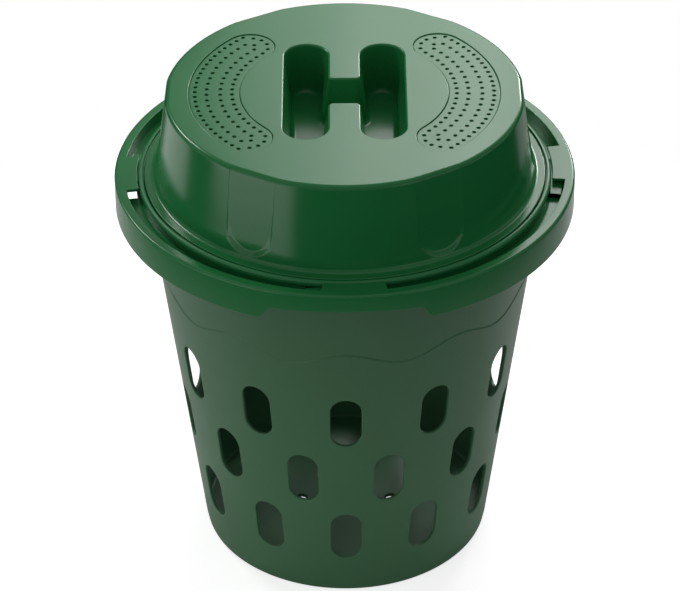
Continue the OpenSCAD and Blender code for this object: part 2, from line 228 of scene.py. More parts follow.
# Lid: dome, flange and shelf, flutes, grip and lugs
DOME_H, DOME_TOP_R, DOME_DRAFT = 56.5, 111.9, math.radians(7.9)
LID_WALL, FLANGE_R, SHELF_R, DOME_ROUND, FOOT_FILLET = 2.4, 126.3, 129.2, 3.0, 2.8
FLUTES, FLUTE_DEPTH, FLUTE_TOP_DEPTH, FLUTE_W = 6, 1.7, 1.1, 31.2
FLUTE_S, FLUTE_EDGE, FLUTE_FOOT_EDGE = 5.4, 1.0, 2.6
GRIP_W, GRIP_L, GRIP_X, GRIP_CHANNEL = 27.5, 114.0, 23.9, 14.3
GRIP_DEPTH, GRIP_DRAFT = 32.0, math.radians(8.5)
GRIP_MOUTH, GRIP_FLOOR_ROUND, GRIP_CORNER = 1.4, 3.2, 3.4
LUG_R, LUG_IN_R, LUG_SPAN, LUG_TURN = 137.6, 130.4, 15.8, -4.9
LUG_LOW, LUG_TOP, LUG_FALL = -7.5, -2.2, 2.4

# Vents: plate, gap and ledge, then the rows of holes, each with how far in from the outer
# edge it lies, its step in degrees and its count, and the holes at the two ends
VENT_R, VENT_IN_R, VENT_HALF, VENT_T, VENT_SINK = 97.0, 65.0, 42.5, 1.6, 0.6
VENT_GAP, VENT_SEAT, VENT_HOLE_R = 0.15, 2.2, 1.3
VENT_ROWS = ((4, 3.55, 27), (11.3, 4.5, 20), (19.8, 5, 18), (27.1, 5, 18))
VENT_END_R, VENT_END_ANGLES, VENT_END_MID = 11.5, (33, 4, -26, -58), 4.0

# ---------------------------------------------------------------- surfaces


class Skin:
    """Grids and flat faces in millimetres, gathered and then welded into one mesh."""

    def __init__(self):
        self.points, self.faces, self.count = [], [], 0

    def add(self, points, faces):
        points = np.asarray(points, float).reshape(-1, 3)
        self.points.append(points)
        self.faces.append(np.asarray(faces) + self.count)
        self.count += len(points)

    def grid(self, points, wrap_rows=False, wrap_columns=True, flip=False, skip=None):
        """Four-sided faces between neighbours of a grid of points. They look along the way
        the columns run crossed with the way the rows run. skip marks faces left open."""
        rows, columns = points.shape[:2]
        index = np.arange(rows * columns).reshape(rows, columns)
        if wrap_rows:
            index = np.vstack([index, index[:1]])
        if wrap_columns:
            index = np.hstack([index, index[:, :1]])
        quads = np.stack([index[:-1, :-1], index[:-1, 1:], index[1:, 1:], index[1:, :-1]], -1)
        if skip is not None:
            quads = quads[~skip]
        quads = quads.reshape(-1, 4)
        self.add(points, quads[:, ::-1] if flip else quads)

    def mesh(self, name):
        """Weld points that lie within a micrometre, drop faces that this closes up, and make
        a mesh in metres."""
        points = np.vstack(self.points)
        keys = np.round(points * 1000 + 0.123).astype(np.int64)
        _, first, index = np.unique(keys, axis=0, return_index=True, return_inverse=True)
        index = index.reshape(-1)
        faces = []
        for corners in self.faces:
            corners = index[corners]
            same = corners == np.roll(corners, -1, axis=1)
            faces += corners[~same.any(axis=1)].tolist()
            if corners.shape[1] == 4:
                one = same.sum(axis=1) == 1
                faces += corners[one][~same[one]].reshape(-1, 3).tolist()
        mesh = bpy.data.meshes.new(name)
        mesh.from_pydata((points[first] * MM).tolist(), [], faces)
        mesh.validate()
        mesh.shade_smooth()
        mesh.set_sharp_from_angle(angle=SHARP)
        return mesh


def rounded(corners, radii, steps=4):
    """Round each corner of a closed outline: an arc that touches both sides replaces it,
    steps long. corners ends in (corner, 2), radii in (corner), and both may have leading
    axes, one outline for each."""
    before = np.roll(corners, 1, axis=-2) - corners
    after = np.roll(corners, -1, axis=-2) - corners
    before /= np.linalg.norm(before, axis=-1, keepdims=True)
    after /= np.linalg.norm(after, axis=-1, keepdims=True)
    half = np.arccos(np.clip((before * after).sum(-1), -1, 1)) / 2
    turn = np.maximum(np.pi - 2 * half, 1e-4)[..., None, None]
    reach = np.where(half > 1.55, 0, radii / np.tan(np.maximum(half, 1e-3)))[..., None]
    middle = before + after
    length = np.linalg.norm(middle, axis=-1, keepdims=True)
    centre = corners + np.where(length > 1e-4, middle / np.maximum(length, 1e-4), 0) * np.where(
        half > 1.55, 0, radii / np.sin(np.maximum(half, 1e-3)))[..., None]
    start = (corners + before * reach - centre)[..., None, :]
    end = (corners + after * reach - centre)[..., None, :]
    w = np.linspace(0, 1, steps + 1)[:, None]
    arc = (np.sin((1 - w) * turn) * start + np.sin(w * turn) * end) / np.sin(turn)
    points = centre[..., None, :] + arc
    return points.reshape(*corners.shape[:-2], -1, 2)


def spin(profile, angles, z0=0.0):
    """Carry a profile of radius and height round the upright axis: one column of the grid
    for each angle, in degrees. The profile is one outline, or one for each angle."""
    a = np.radians(angles)
    profile = np.broadcast_to(profile, (len(a),) + profile.shape[-2:]).swapaxes(0, 1)
    r, z = profile[..., 0], profile[..., 1] + z0
    return np.stack([r * np.cos(a), r * np.sin(a), z], -1)


def inside(outline, points):
    """Which points lie inside a closed outline: those whose ray to +X crosses it an odd
    number of times."""
    a, b = outline, np.roll(outline, -1, axis=0)
    px, py = points[:, None, 0], points[:, None, 1]
    across = (a[:, 1] > py) != (b[:, 1] > py)
    rise = np.where(b[:, 1] == a[:, 1], 1, b[:, 1] - a[:, 1])
    x = a[:, 0] + (py - a[:, 1]) * (b[:, 0] - a[:, 0]) / rise
    return (across & (px < x)).sum(axis=1) % 2 == 1


def flat(skin, z, outline, holes=(), up=True):
    """A flat face at height z between an outline and the holes in it: the triangles of the
    constrained Delaunay triangulation whose middles lie inside the one and in no other."""
    loops = [np.asarray(outline)[:, :2]] + [np.asarray(h)[:, :2] for h in holes]
    points = np.vstack(loops)
    edges, start = [], 0
    for loop in loops:
        index = start + np.arange(len(loop))
        edges.append(np.stack([index, np.roll(index, -1)], -1))
        start += len(loop)
    made = mathutils.geometry.delaunay_2d_cdt(
        [Vector(p) for p in points.tolist()], np.vstack(edges).tolist(), [], 0, 1e-6, True)
    source = np.array([ids[0] for ids in made[3]])
    faces = source[np.array([f for f in made[2] if len(f) == 3])]
    middles = points[faces].mean(axis=1)
    keep = inside(loops[0], middles)
    for loop in loops[1:]:
        keep &= ~inside(loop, middles)
    faces = faces[keep]
    a, b, c = (points[faces[:, i]] for i in range(3))
    area = (b[:, 0] - a[:, 0]) * (c[:, 1] - a[:, 1]) - (b[:, 1] - a[:, 1]) * (c[:, 0] - a[:, 0])
    faces = faces[np.abs(area) > 1e-7]
    area = area[np.abs(area) > 1e-7]
    turned = (area < 0) == up
    faces[turned] = faces[turned][:, ::-1]
    skin.add(np.column_stack([points, np.full(len(points), z)]), faces)


def circle(radius, count, x=0.0, y=0.0):
    """Points of a circle, anticlockwise from +X."""
    a = np.arange(count) * 2 * np.pi / count
    return np.column_stack([x + radius * np.cos(a), y + radius * np.sin(a)])


def arc(x, y, radius, start, end, count):
    """Points of an arc and the directions away from its centre, angles in degrees."""
    a = np.radians(np.linspace(start, end, count))
    out = np.column_stack([np.cos(a), np.sin(a)])
    return np.array([x, y]) + radius * out, out


def swept(skin, outline, outward, profile, flip=False):
    """A wall along a closed outline. Each pair of the profile moves the outline outwards
    and sets its height, and gives one row."""
    shift, z = np.asarray(profile, float).T
    rows = outline[None] + shift[:, None, None] * outward[None]
    height = np.broadcast_to(z[:, None, None], rows.shape[:2] + (1,))
    skin.grid(np.concatenate([rows, height], axis=-1), flip=flip)
    return rows


def quarter(x, z, radius, start, end, steps=5):
    """Points of an arc in a profile, about (x, z), from one angle to another in degrees."""
    a = np.radians(np.linspace(start, end, steps + 1))
    return np.column_stack([x + radius * np.cos(a), z + radius * np.sin(a)])


def block(skin, low, high, turn):
    """A closed box between two corners, turned about the upright axis."""
    corner = np.array([(x, y, z) for z in (0, 1) for y in (0, 1) for x in (0, 1)], float)
    p = np.asarray(low) + corner * (np.asarray(high) - np.asarray(low))
    c, s = math.cos(math.radians(turn)), math.sin(math.radians(turn))
    p = np.column_stack([p[:, 0] * c - p[:, 1] * s, p[:, 0] * s + p[:, 1] * c, p[:, 2]])
    skin.add(p, [(0, 2, 3, 1), (4, 5, 7, 6), (0, 1, 5, 4), (2, 6, 7, 3), (0, 4, 6, 2), (1, 3, 7, 5)])


def soft_edge(x, z, radius, count):
    """Points of a profile that leaves a flat face at height z and turns down into a wall at x,
    round a quarter circle."""
    turns = np.linspace(0, np.pi / 2, count)
    return [(x + radius * (1 - math.sin(p)), z - radius * (1 - math.cos(p))) for p in turns]


def smooth(t):
    """The smooth step: 0 up to t = 0, 1 from t = 1, and 3t^2 - 2t^3 between them."""
    t = np.clip(t, 0, 1)
    return t * t * (3 - 2 * t)


# ---------------------------------------------------------------- tub

COLUMNS = np.arange(288) * 1.25


def tub_out(z):
    """The radius of the tub's outside at a height: the foot's, plus the height times the
    tangent of the draft."""
    return TUB_FOOT_R + z * math.tan(TUB_DRAFT)


def on_tub(turn, z, depth):
    """Points of the tub's wall: a cone that widens upwards, less a depth. Angles in degrees."""
    r = tub_out(z) - depth
    a = np.radians(turn)
    return np.stack([r * np.cos(a), r * np.sin(a), z + 0 * a], -1)


def slot_tile(skin, turn, z0):
    """The part of the wall round one worm slot. Rings run from the tile's straight edges to
    the slot's rounded outline, over its rounded lip, through the wall and back out to the
    tile's edges on the inside. The slot's sides lie along the direction of its own middle."""
    half_turn, half_z = 180 / SLOTS, SLOT_PITCH / 2
    wide, tall = 24, 16
    across, up = np.arange(wide) / wide * 2 - 1, np.arange(tall) / tall * 2 - 1
    edge = np.concatenate([
        np.column_stack([across, -np.ones(wide)]), np.column_stack([np.ones(tall), up]),
        np.column_stack([-across, np.ones(wide)]), np.column_stack([-np.ones(tall), -up])])
    edge = edge * (half_turn, half_z)
    # directions round the slot, and which round end each point belongs to
    side = np.concatenate([np.linspace(-45, 0, 5)[:-1], np.zeros(8), np.linspace(0, 45, 5)[:-1]])
    run = np.concatenate([-np.ones(4), np.linspace(-1, 1, 9)[:-1], np.ones(4)])
    angle = np.radians(np.concatenate([
        np.linspace(-135, -45, wide + 1)[:-1], side, np.linspace(45, 135, wide + 1)[:-1], side + 180]))
    end = np.concatenate([-np.ones(wide), run, np.ones(wide), -run])
    straight = (SLOT_H - SLOT_W) / 2

    def ring(grow, depth, share):
        radius = SLOT_W / 2 + grow
        x, z = radius * np.cos(angle), z0 + straight * end + radius * np.sin(angle)
        a = np.degrees(np.arcsin(x / (tub_out(z) - depth)))
        a = a * (1 - share) + edge[:, 0] * share
        z = z * (1 - share) + (z0 + edge[:, 1]) * share
        return on_tub(turn + a, z, depth)

    lip, burr = 0.7, 0.3
    phi = np.linspace(0, np.pi / 2, 6)
    rings = [ring(lip, 0, s) for s in (1, 0.62, 0.34, 0.14, 0.04)]
    rings += [ring(lip * (1 - math.sin(p)), lip * (1 - math.cos(p)), 0) for p in phi]
    rings += [ring(burr * (1 - math.cos(p)), TUB_WALL - burr * (1 - math.sin(p)), 0) for p in phi[::2]]
    rings += [ring(burr, TUB_WALL, s) for s in (0.1, 0.4, 1)]
    skin.grid(np.stack(rings))


def make_tub():
    """The tub: rings of slot tiles, the foot under them, the wavy step and the mouth above
    them, and the floor with its drain holes."""
    skin = Skin()
    for row in range(3):
        for k in range(SLOTS):
            slot_tile(skin, (k + (row == 1) / 2) * 360 / SLOTS, SLOT_Z + row * SLOT_PITCH)
    low, high = SLOT_Z - SLOT_PITCH / 2, SLOT_Z + 2.5 * SLOT_PITCH
    # foot: in under the floor, down the foot ring, round its edge and up to the slots
    arc_x = TUB_FOOT_R - FOOT_ROUND
    foot = np.vstack([
        [[FOOT_IN_R, FLOOR_LOW], [FOOT_IN_R, 0.4], [FOOT_IN_R + 0.4, 0]],
        quarter(arc_x, FOOT_ROUND, FOOT_ROUND, -90, 0, 6),
        [[tub_out(z), z] for z in (6, 12, low)]])
    skin.grid(spin(foot, COLUMNS))
    floor_round = 2.0
    x = tub_out(FLOOR_HIGH + floor_round) - TUB_WALL
    inner = np.vstack([
        [[tub_out(low) - TUB_WALL, low]],
        quarter(x - floor_round, FLOOR_HIGH + floor_round, floor_round, 0, -90, 4)])
    skin.grid(spin(inner, COLUMNS))
    # above the slots: rows that bend to follow the wavy step, each with its height, its share
    # of the wave and its share of the step
    rows = np.array([
        (high, 0, 0), (179, 0.15, 0), (187, 0.6, 0), (194, 0.95, 0), (198.5, 1, 0),
        (199.3, 1, 0), (199.55, 1, 0.06), (199.8, 1, 0.2), (200.05, 1, 0.45),
        (200.3, 1, 0.72), (200.55, 1, 0.92), (200.9, 1, 1), (201.5, 1, 1), (203, 1, 1),
        (206, 0.95, 1), (213, 0.6, 1), (222, 0.15, 1), (235, 0, 1), (TUB_TOP - BEAD_H, 0, 1)])
    wave = WAVE_AMP * np.cos(WAVES * np.radians(COLUMNS + 90))
    z = rows[:, :1] + rows[:, 1:2] * wave
    skin.grid(on_tub(COLUMNS[None], z, STEP * rows[:, 2:3] + 0 * z))
    top_in = tub_out(TUB_TOP) - TUB_WALL
    mouth = np.vstack([
        [[tub_out(TUB_TOP - BEAD_H) - STEP, TUB_TOP - BEAD_H]],
        rounded(np.array([
            [BEAD_R, TUB_TOP - BEAD_H], [BEAD_R, TUB_TOP], [top_in, TUB_TOP],
            [top_in, TUB_TOP - BEAD_H]]), np.array([0.5, 0.8, 0.5, 0]), 3)[:12],
        [[tub_out(high) - TUB_WALL, high]]])
    skin.grid(spin(mouth, COLUMNS))
    # floor with its drain holes
    spots = [(0.0, 0.0)] + [
        (DRAIN_RING * math.cos(a), DRAIN_RING * math.sin(a))
        for a in np.arange(DRAINS) * 2 * np.pi / DRAINS]
    lip = 0.5
    wide = [circle(DRAIN_R + lip, 32, *s) for s in spots]
    flat(skin, FLOOR_HIGH, spin(inner[-1:], COLUMNS)[0], wide)
    flat(skin, FLOOR_LOW, spin(foot[:1], COLUMNS)[0], wide, up=False)
    out = circle(1, 32)
    drop = [(lip, FLOOR_HIGH), (lip * 0.3, FLOOR_HIGH - lip * 0.3), (0, FLOOR_HIGH - lip),
            (0, FLOOR_LOW + lip), (lip * 0.3, FLOOR_LOW + lip * 0.3), (lip, FLOOR_LOW)]
    for x, y in spots:
        swept(skin, circle(DRAIN_R, 32, x, y), out, drop)
    return skin.mesh("tub_skin")


# ---------------------------------------------------------------- collar


def notch_rise(angles):
    """How far the band's lower edge rises over the two lifting notches: their height less an
    arch that falls with the square of the distance x from the middle, times a smooth step at
    each end."""
    x = np.abs(COLLAR_R * np.cos(np.radians(angles)))
    return (NOTCH_H - NOTCH_ARCH * (x / NOTCH_HALF) ** 2) * smooth((NOTCH_HALF - x) / NOTCH_END)


def collar_columns():
    """Angles of the collar's columns: even ones, and finer ones where the lifting notches,
    the tabs and the core openings end."""
    even = np.arange(240) * 1.5
    x = np.linspace(NOTCH_HALF - NOTCH_END, NOTCH_HALF, 9)
    quarter_turn = np.degrees(np.arccos(x / COLLAR_R))
    notch = np.concatenate([s + d * quarter_turn for s in (0, 180) for d in (-1, 1)])
    round_end = np.degrees(TAB_ROUND * (1 - np.cos(np.radians(np.arange(0, 91, 15)))) / TAB_R)
    ends = np.concatenate([[-TAB_HALF - 0.01], -TAB_HALF + round_end, TAB_HALF - round_end,
                           [TAB_HALF + 0.01, CORE_FROM, CORE_TO]])
    turned = (ends[None] + TAB_TURN + 90 * np.arange(4)[:, None]).ravel()
    columns = np.unique(np.round(np.concatenate([even, notch, turned]) % 360, 5))
    near = np.abs(columns[:, None] - turned[None] % 360).min(axis=1)
    return columns[(near < 1e-4) | (near > 0.3)]


def make_collar():
    """The collar: one profile that runs in along the seat, up the rim's inner wall or round a
    tab, over the rim, down the band and back in underneath, with ribs let into it."""
    skin = Skin()
    columns = collar_columns()
    turn = (columns - TAB_TURN + 45) % 90 - 45
    # how far in the tabs reach: their corners are rounded, as seen from above
    edge = np.radians(TAB_HALF - np.abs(turn)) * TAB_R
    left = np.clip(TAB_ROUND - edge, 0, TAB_ROUND)
    corner = TAB_ROUND - np.sqrt(np.maximum(TAB_ROUND ** 2 - left ** 2, 0))
    tab = edge > -1e-3
    lip = 0.45
    seat = np.array([(SEAT_IN_R + 0.3, SEAT_Z), (CORE_IN_R, SEAT_Z), (CORE_OUT_R, SEAT_Z),
                     (RIM_IN_R, SEAT_Z), (RIM_IN_R, -TAB_T)])
    tip = np.vstack([quarter(lip, -TAB_T + lip, lip, -90, -180, 3), quarter(lip, -lip, lip, 180, 90, 4)])
    wall = np.column_stack([
        [0, 0, 0, 0, 0, *(quarter(lip, -lip, lip, 180, 90, 3)[:, 0])],
        [-1.7, -1.5, -1.2, -0.9, -0.6, *(quarter(lip, -lip, lip, 180, 90, 3)[:, 1])]])
    inner = np.where(tab[:, None, None], tip[None] + np.stack([TAB_R + corner, 0 * corner], -1)[:, None],
                     wall[None] + (RIM_IN_R, 0))
    top = quarter(COLLAR_R - RIM_OUT_ROUND, -RIM_OUT_ROUND, RIM_OUT_ROUND, 90, 0, 6)
    low = -BAND_H + notch_rise(columns)[:, None]
    foot = rounded(np.array([[COLLAR_R, -5.0], [COLLAR_R, 0], [COLLAR_R - BAND_T, 0],
                             [COLLAR_R - BAND_T, -5]]) * (1, -1), np.array([0, 0.7, 0.5, 0]), 3)[4:12]
    foot = np.stack([foot[:, 0] + 0 * low, foot[:, 1] + low], -1)
    out = RIM_IN_R + RIM_WALL
    skirt_out, skirt_low = SKIRT_IN_R + SKIRT_T, SEAT_Z - SEAT_T - SKIRT_H
    hook = SEAT_Z - SEAT_T - BEAD_H - 0.2
    under = np.array([
        (COLLAR_R - BAND_T, -RIM_T), (out, -RIM_T), (out, SEAT_Z - SEAT_T), (CORE_OUT_R, SEAT_Z - SEAT_T),
        (CORE_IN_R, SEAT_Z - SEAT_T), (skirt_out, SEAT_Z - SEAT_T), (skirt_out, skirt_low),
        (SKIRT_IN_R, skirt_low), (HOOK_R, hook - 1.0), (HOOK_R, hook - 0.4), (SKIRT_IN_R, hook),
        (SKIRT_IN_R, SEAT_Z - SEAT_T), (SEAT_IN_R, SEAT_Z - SEAT_T), (SEAT_IN_R, SEAT_Z - 0.3)])

    def every(points):
        return np.broadcast_to(points, (len(columns),) + points.shape)

    profile = np.concatenate([every(seat), inner, every(top), foot, every(under)], axis=1)
    grid = spin(profile, columns, RIM)
    # the core openings in the seat, under the tabs and beside them
    open_column = (turn > CORE_FROM - 1e-3) & (turn < CORE_TO - 1e-3)
    skip = np.zeros((profile.shape[1], len(columns)), bool)
    under_row = len(seat) + inner.shape[1] + len(top) + foot.shape[1] + 3
    skip[1, open_column] = True
    skip[under_row, open_column] = True
    skin.grid(grid, wrap_rows=True, flip=True, skip=skip)
    for k in range(4):
        start, end = (a + TAB_TURN + 90 * k for a in (CORE_FROM, CORE_TO))
        a = columns[((columns - start + 1e-3) % 360) < (end - start + 2e-3)]
        a = a[np.argsort((a - start + 1) % 360)]
        near_side = spin(np.array([[CORE_IN_R, 0.0]]), a)[0]
        far_side = spin(np.array([[CORE_OUT_R, 0.0]]), a)[0]
        loop = np.concatenate([near_side, far_side[::-1]])
        rows = np.stack([loop + (0, 0, RIM + SEAT_Z), loop + (0, 0, RIM + SEAT_Z - SEAT_T)])
        skin.grid(rows, flip=True)
        for rib in RIB_ANGLES:
            block(skin, (SKIRT_IN_R + 1, -RIB_T / 2, TUB_TOP - SKIRT_H),
                  (COLLAR_R - 1, RIB_T / 2, TUB_TOP + 1), TAB_TURN + 90 * k + rib)
    return skin.mesh("collar_skin")


def make_seal():
    """The seal: a flat ring with a lip round its outside, rounded at the lip's outer edge."""
    corners = np.array([
        [SEAL_IN_R, SHELF_Z], [SEAL_R, SHELF_Z], [SEAL_R, 0], [SEAL_LIP_R, 0],
        [SEAL_LIP_R, -SEAL_GROOVE], [SEAL_IN_R, -SEAL_GROOVE]])
    profile = rounded(corners, np.array([0.2, 0.4, 2.0, 0.3, 0.3, 0.3]), 6)
    skin = Skin()
    skin.grid(spin(profile, np.arange(360) * 1.0, RIM), wrap_rows=True)
    return skin.mesh("seal_skin")


# ---------------------------------------------------------------- lid


def dome_out(z):
    """The radius of the dome's outside at a height: the top's, plus the way down from the top
    times the tangent of the draft."""
    return DOME_TOP_R + (DOME_H - z) * math.tan(DOME_DRAFT)


def flute_cut(across, s, z):
    """How far the surface lies in at a flute, by the distance across from its middle, the
    distance s up from the flange and the height z, in millimetres. The floor's depth changes
    evenly with height, less the square of the distance across over twice the dome's radius,
    which makes it flat. At the edge it is multiplied by 1 less the square of the way over a
    narrow step, which is wider at the U-shaped foot."""
    half = FLUTE_W / 2
    drop = np.maximum(FLUTE_S + half - s, 0)
    reach = np.hypot(across, drop)
    foot = np.where(reach > 0, drop / np.maximum(reach, 1e-6), 0) ** 1.5
    width = FLUTE_EDGE + (FLUTE_FOOT_EDGE - FLUTE_EDGE) * foot
    out = reach - half
    share = 1 - np.clip(0.5 + out / width, 0, 1) ** 2
    depth = FLUTE_DEPTH + (FLUTE_TOP_DEPTH - FLUTE_DEPTH) * z / DOME_H
    floor = np.maximum(depth - across ** 2 / (2 * DOME_TOP_R), 0.3)
    return floor * share


def side_profile(s):
    """A point of the dome's hollow foot and side, and the way out of the surface there, by
    the distance s along them from the flange."""
    f, draft = FOOT_FILLET, DOME_DRAFT
    bend = math.pi / 2 - draft
    a = -math.pi / 2 - np.minimum(s / f, bend)
    up = np.maximum(s - f * bend, 0)
    x, sin, cos = dome_out(f) + f / math.cos(draft), np.sin(a), np.cos(a)
    point = np.stack([x + f * cos - up * math.sin(draft), f + f * sin + up * math.cos(draft)], -1)
    return point, np.stack([-cos, -sin], -1)


def lid_columns():
    """Where the lid's columns cross a flute's tile, in millimetres from its middle at the top
    of the dome: even ones, with fine ones along the flute's two sides."""
    half, tile = FLUTE_W / 2, math.pi * DOME_TOP_R / FLUTES
    side = half + np.arange(-6, 7) * FLUTE_EDGE / 10
    beyond = np.linspace(side[-1] + 1.2, tile, 20)
    right = np.concatenate([np.arange(0, side[0] - 0.7, 1.2), side, beyond])
    return np.concatenate([-right[:0:-1], right[:-1]])


def grip_outline():
    """The H of the grip at the lid's top, round anticlockwise, and the way out of it at each
    point: two pockets with round ends, joined by a channel with rounded corners."""
    end_y = (GRIP_L - GRIP_W) / 2
    r, c, x1 = GRIP_W / 2, GRIP_CORNER, GRIP_X - GRIP_W / 2 - GRIP_CORNER
    y1 = GRIP_CHANNEL + c
    run = np.linspace(-1, 1, 13)[1:-1, None]
    points, outward = [], []

    def add(pair, sign=1):
        points.append(pair[0])
        outward.append(sign * pair[1])

    def line(a, b):
        a, b = np.array(a), np.array(b)
        mid, d = (a + b) / 2, (b - a) / 2
        n = np.array([d[1], -d[0]]) / np.hypot(*d)
        add((mid + run * d, np.broadcast_to(n, (len(run), 2))))

    for s in (1, -1):
        line((s * (GRIP_X + r), -s * end_y), (s * (GRIP_X + r), s * end_y))
        start = 0 if s > 0 else 180
        add(arc(s * GRIP_X, s * end_y, r, start, start + 180, 25))
        line((s * (GRIP_X - r), s * end_y), (s * (GRIP_X - r), s * y1))
        add(arc(s * x1, s * y1, c, start, start - 90, 9), -1)
        line((s * x1, s * GRIP_CHANNEL), (-s * x1, s * GRIP_CHANNEL))
        add(arc(-s * x1, s * y1, c, start - 90, start - 180, 9), -1)
        line((-s * (GRIP_X - r), s * y1), (-s * (GRIP_X - r), s * end_y))
        add(arc(-s * GRIP_X, s * end_y, r, start, start + 180, 25))
    return np.vstack(points), np.vstack(outward)


def crescent(side):
    """The outline of a vent on one side of the lid, anticlockwise, and the way out of it: two
    arcs about the lid's middle, joined by round ends."""
    mid, cap = (VENT_R + VENT_IN_R) / 2, (VENT_R - VENT_IN_R) / 2
    turn = 0 if side > 0 else 180
    start, end = turn - VENT_HALF, turn + VENT_HALF
    a, b = math.radians(end), math.radians(start)
    outer = arc(0, 0, VENT_R, start, end, 61)
    inner = arc(0, 0, VENT_IN_R, end, start, 49)
    far_end = arc(mid * math.cos(a), mid * math.sin(a), cap, end, end + 180, 33)
    near_end = arc(mid * math.cos(b), mid * math.sin(b), cap, start + 180, start + 360, 33)
    points = np.vstack([outer[0][:-1], far_end[0][:-1], inner[0][:-1], near_end[0][:-1]])
    outward = np.vstack([outer[1][:-1], far_end[1][:-1], -inner[1][:-1], near_end[1][:-1]])
    return points, outward


def lug(skin, turn):
    """A bayonet lug: a root on the shelf and a block whose top falls along its length, so that
    it wedges under its tab as the lid turns clockwise."""
    angles = np.linspace(-1, 1, 13) * LUG_SPAN / 2
    top = LUG_TOP - LUG_FALL * (1 - angles / (LUG_SPAN / 2)) / 2
    root = SHELF_Z - LUG_FALL / 2
    corners = np.stack([np.stack([
        (SHELF_R - 1, LUG_LOW), (LUG_R, LUG_LOW), (LUG_R, t), (LUG_IN_R, t),
        (LUG_IN_R, root), (SHELF_R - 1, root)]) for t in top])
    profile = rounded(corners, np.array([0, 0.4, 0.6, 0.5, 0.03, 0]), 3)
    grid = spin(profile, turn + angles, RIM)
    skin.grid(grid, wrap_rows=True, flip=True)
    index = np.arange(grid.shape[0])
    skin.add(grid[:, 0], [index])
    skin.add(grid[:, -1], [index[::-1]])


